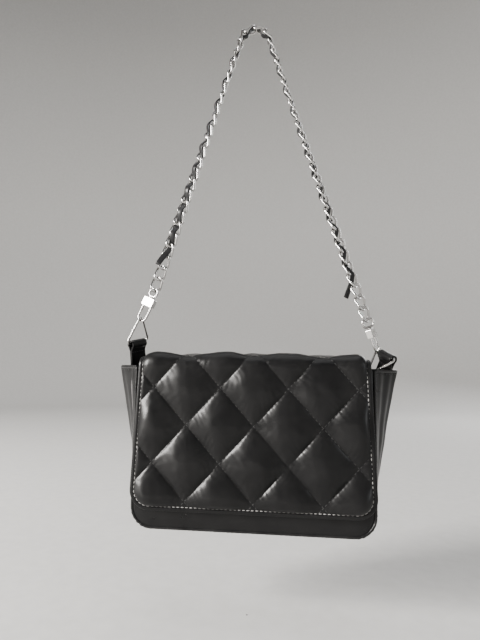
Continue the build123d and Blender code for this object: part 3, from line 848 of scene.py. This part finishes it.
def make_tab(label, hand, shift, lean):
    """A strip of leather that comes up from the side's lining, goes round the ring and down again."""
    pivot = joint(f"ring_{label}_pivot")
    side = np.array(pivot["axis"])
    base = (np.array(pivot["pos_m"]) - BAG) * 1000 - side * shift
    up = np.array(lean, float)
    up -= side * up.dot(side)
    up /= np.linalg.norm(up)
    centre = base - up * RING_DROP
    reach = DEPTH / 2 - 2 * PIPE_R
    flare = 1.0 + (FLARE - 1.0) * (TAB_FOOT_Z - SIDE_LOW) / (BODY_TOP - SIDE_LOW)
    foot_along = np.array([-hand * flare, reach, 0.0])
    foot_along /= np.linalg.norm(foot_along)
    foot_in = np.array([-hand * reach, -flare, 0.0])
    foot_in /= np.linalg.norm(foot_in)
    lining_x = HALF_WIDTH - 2.5 + flare * (DEPTH - 2 * PIPE_R - TAB_FOOT_Y) / reach
    foot = np.array([hand * lining_x, TAB_FOOT_Y, TAB_FOOT_Z]) + foot_in * 2 * TAB_STRAND
    down = foot - centre
    down -= side * down.dot(side)
    down /= np.linalg.norm(down)
    across = np.cross(side, down)

    # the strip's middle line in the plane across the ring's base, as (down, across) offsets
    rounds = np.linspace(math.radians(40), math.radians(320), 40)
    loop = [(TAB_MID * math.cos(a), TAB_MID * math.sin(a)) for a in rounds]
    lines = []
    half = np.linspace(-0.5, 0.5, 15)
    for d, c in [(TAB_NECK, TAB_STRAND)] + loop + [(TAB_NECK, -TAB_STRAND)]:
        middle = centre + down * d + across * c
        edge = 0.25 * np.sin(half * 9 + d)
        lines.append(middle + np.outer(half * TAB_WIDTH, side) + np.outer(edge * 0.3, across))
    for share in np.linspace(0.15, 1, 12):
        turned = side * (1 - share) + foot_along * (1 if side.dot(foot_along) > 0 else -1) * share
        turned /= np.linalg.norm(turned)
        face = across * (1 - share) + foot_in * (1 if across.dot(foot_in) > 0 else -1) * share
        face /= np.linalg.norm(face)
        start = centre + down * TAB_NECK
        middle = start + (foot - start) * share
        lines.append(middle - face * TAB_STRAND + np.outer(half * TAB_WIDTH, turned))
        lines.insert(0, middle + face * TAB_STRAND + np.outer(half * TAB_WIDTH, turned))
    grid = np.array(lines)
    n = normals_of(grid)
    outer, inner = grid + n * TAB_LAYER / 2, grid - n * TAB_LAYER / 2
    made = shell(f"ring_tab_{label}", outer, inner, BODY_LEATHER)
    bevel = made.modifiers.new("edge", "BEVEL")
    bevel.width = 0.0004
    bevel.segments = 2
    bevel.limit_method = "ANGLE"
    bevel.angle_limit = math.radians(50)
    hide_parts(f"tab_{label}")
    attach(made, "bag")
    for face_sign, place in ((1, "front"), (-1, "back")):
        row = np.linspace(-0.42, 0.42, 6) * TAB_WIDTH
        at = centre + down * (TAB_NECK + 1.0) + across * face_sign * (TAB_STRAND + TAB_LAYER / 2 + 0.1)
        here = at + np.outer(row, side)
        thread_row = stitches(f"tab_stitches_{place}_{label}", here, np.tile(side, (6, 1)),
                              np.tile(across * face_sign, (6, 1)), 2.6, 0.26, DARK_THREAD)
        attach(thread_row, "bag")


LEFT_LEAN = (6.8, -10.6, 29.0)
make_tab("left", -1, 0.0, LEFT_LEAN)
make_tab("right", 1, 2.0, (0.0, 0.0, 1.0))


# ---- the strap ----
def link_middles(node):
    """The middle of each link of a chain node in the bag's frame, and the direction across its flat side."""
    mesh = frame["nodes"][node].data
    built = bmesh.new()
    built.from_mesh(mesh)
    bmesh.ops.remove_doubles(built, verts=built.verts, dist=1e-7)
    seen, found = set(), []
    for start in built.verts:
        if start in seen:
            continue
        group, stack = [], [start]
        seen.add(start)
        while stack:
            vert = stack.pop()
            group.append(vert.co[:])
            for edge in vert.link_edges:
                other = edge.other_vert(vert)
                if other not in seen:
                    seen.add(other)
                    stack.append(other)
        points = (np.array(group) - BAG) * 1000
        middle = (points.max(0) + points.min(0)) / 2
        _, _, axes = np.linalg.svd(points - points.mean(0), full_matrices=False)
        found.append((middle, axes[2]))
    built.free()
    return found


def strap_links():
    """All links in order from the left clip to the right one."""
    left = sorted(link_middles("chain_left"), key=lambda k: k[0][2])
    top = sorted(link_middles("chain_top"), key=lambda k: k[0][0])
    right = sorted(link_middles("chain_right"), key=lambda k: -k[0][2])
    return left + top + right


LACE_WIDTH = 6.2
LACE_THICK = 1.8
LACE_FIRST = 3                            # the first link it passes through, from either clip
LACE_STEPS = 14                           # points on each link
LACE_WEAVE = 3.1                          # from the links' middle to the lace's, at most
LACE_TAIL = 9.0
LACE_DROOP = 6.0
LACE_SIDES = 16


def make_lace():
    """A flat lace that passes in front of one crossing of the links and behind the next."""
    links = strap_links()
    middles = np.array([k[0] for k in links])
    flats = []
    for k, (_, deep) in enumerate(links):
        ahead = middles[min(k + 1, len(links) - 1)] - middles[max(k - 1, 0)]
        ahead /= np.linalg.norm(ahead)
        normal = deep - ahead * deep.dot(ahead)
        normal /= np.linalg.norm(normal)
        if flats and normal.dot(flats[-1]) < 0:
            normal = -normal
        if not flats and normal[1] > 0:
            normal = -normal
        flats.append(normal)
    flats = np.array(flats)
    last = len(links) - 1 - LACE_FIRST
    share = np.linspace(LACE_FIRST, last, (last - LACE_FIRST) * LACE_STEPS + 1)
    index = np.arange(len(links))
    centre = np.stack([np.interp(share, index, middles[:, k]) for k in range(3)], axis=1)
    normal = np.stack([np.interp(share, index, flats[:, k]) for k in range(3)], axis=1)
    normal /= np.linalg.norm(normal, axis=1, keepdims=True)
    weave = LACE_WEAVE * np.cos(math.pi * (share - 0.5))
    path = centre + normal * weave[:, None]
    kernel = np.ones(5) / 5
    path[2:-2] = np.stack([np.convolve(path[:, k], kernel, "valid") for k in range(3)], axis=1)
    tails = []
    for end, sign in ((0, 1), (-1, -1)):
        tip = path[end]
        out = np.array([-1.0, -0.25, -0.55]) if end == 0 else np.array([-0.75, -0.5, -0.75])
        back = path[end] - path[end + sign]
        back /= np.linalg.norm(back)
        out /= np.linalg.norm(out)
        s = np.linspace(0.08, 1, 12)[:, None]
        droop = np.array([0, 0, -1.0]) * LACE_DROOP * s ** 3
        tail = tip + back * LACE_TAIL * s + out * LACE_TAIL * s ** 2 + droop
        tails.append((tail, np.repeat(normal[end][None], len(s), axis=0)))
    (left_tail, left_normal), (right_tail, right_normal) = tails
    path = np.concatenate([left_tail[::-1], path, right_tail])
    normal = np.concatenate([left_normal[::-1], normal, right_normal])
    along = np.gradient(path, axis=0)
    along /= np.linalg.norm(along, axis=1, keepdims=True)
    wide = np.cross(along, normal)
    wide /= np.linalg.norm(wide, axis=1, keepdims=True)
    out = np.cross(wide, along)
    angle = np.linspace(0, 2 * math.pi, LACE_SIDES, endpoint=False)
    px = np.sign(np.cos(angle)) * np.abs(np.cos(angle)) ** 0.5 * LACE_WIDTH / 2
    py = np.sign(np.sin(angle)) * np.abs(np.sin(angle)) ** 0.7 * LACE_THICK / 2
    narrow = 1 + 0.05 * np.sin(np.arange(len(path)) * 0.31)
    across = (px[None] * narrow[:, None])[..., None] * wide[:, None]
    ring = path[:, None] + across + py[None, :, None] * out[:, None]
    faces = grid_faces(len(path), LACE_SIDES, wrap_b=True).tolist()
    faces.append(list(range(LACE_SIDES)))
    faces.append([(len(path) - 1) * LACE_SIDES + k for k in range(LACE_SIDES)][::-1])
    made = piece("strap_lace", ring.reshape(-1, 3), faces, LACE_LEATHER)
    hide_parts("lace")
    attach(made, "strap")


make_lace()


# ---- floor, light and camera ----
WORLD_COLOUR = (0.8, 0.82, 0.86, 1.0)
WORLD_STRENGTH = 0.12
SENSOR = 36.0
LENS = 27.05625
CAMERA_AT = (38.6, -494.7, 165.5)
CAMERA_AIM = (-16.0, 20.0, 215.9)
CAMERA_ROLL = 0.93                        # degrees


def make_backdrop():
    """A round pale floor that curves up into a wall on every side."""
    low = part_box("base_panel")[0].z - 0.09
    floor, curve, wall = 2.6, 1.6, 5.5
    turn = np.linspace(0, math.pi / 2, 24)
    radius = np.concatenate([[0.001, 0.8, 1.6], floor + curve * np.sin(turn), [floor + curve]])
    height = np.concatenate([[0, 0, 0], curve * (1 - np.cos(turn)), [wall]]) + low
    around = np.linspace(0, 2 * math.pi, 64, endpoint=False)
    x = radius[:, None] * np.cos(around)
    y = radius[:, None] * np.sin(around)
    points = np.stack(np.broadcast_arrays(x, y, height[:, None]), axis=-1)
    mesh = bpy.data.meshes.new("backdrop")
    faces = grid_faces(*points.shape[:2], wrap_b=True)
    mesh.from_pydata([tuple(p) for p in points.reshape(-1, 3)], [], [tuple(int(i) for i in f) for f in faces])
    for face in mesh.polygons:
        face.use_smooth = True
    material, tree, shader, place = node_material("backdrop_paper")
    tooth = texture(tree, "ShaderNodeTexNoise", place, 60.0, Detail=4.0)
    tree.links.new(ramp(tree, tooth.outputs["Fac"], 0.3, 0.7, (0.52, 0.515, 0.505), (0.56, 0.555, 0.545)),
                   shader.inputs["Base Color"])
    shader.inputs["Roughness"].default_value = 0.9
    mesh.materials.append(material)
    made = bpy.data.objects.new("backdrop", mesh)
    bpy.context.scene.collection.objects.link(made)


def add_light(name, place, target, size, power, colour=(1, 1, 1)):
    data = bpy.data.lights.new(name, "AREA")
    data.shape = "RECTANGLE"
    data.size, data.size_y = size
    data.energy = power
    data.color = colour
    lamp = bpy.data.objects.new(name, data)
    bpy.context.scene.collection.objects.link(lamp)
    lamp.location = Vector(rows(place))
    aim = Vector(rows(target)) - lamp.location
    lamp.rotation_mode = "QUATERNION"
    lamp.rotation_quaternion = aim.to_track_quat("-Z", "Y")


make_backdrop()
add_light("key", (-2100, -1090, 900), (0, 0, 150), (0.6, 1.3), 255.0, (1.0, 0.97, 0.93))
add_light("fill", (2600, -1050, 720), (0, 0, 160), (0.5, 2.6), 24.0, (0.93, 0.96, 1.0))
add_light("back", (1500, 2300, 1300), (0, 60, 150), (1.2, 1.2), 40.0)
add_light("sky", (0, 300, 3600), (0, 300, 0), (3.0, 3.0), 45.0)

world = bpy.data.worlds.new("studio")
bpy.context.scene.world = world
world.use_nodes = True
world.node_tree.nodes["Background"].inputs["Color"].default_value = WORLD_COLOUR
world.node_tree.nodes["Background"].inputs["Strength"].default_value = WORLD_STRENGTH

camera_data = bpy.data.cameras.new("camera")
camera_data.sensor_width = SENSOR
camera_data.lens = LENS
camera_data.clip_start = 0.01
camera = bpy.data.objects.new("camera", camera_data)
bpy.context.scene.collection.objects.link(camera)
camera.location = Vector(rows(CAMERA_AT))
aim = Vector(rows(CAMERA_AIM)) - camera.location
camera.rotation_mode = "QUATERNION"
camera.rotation_quaternion = aim.to_track_quat("-Z", "Y") @ Quaternion((0, 0, 1), math.radians(CAMERA_ROLL))
bpy.context.scene.camera = camera
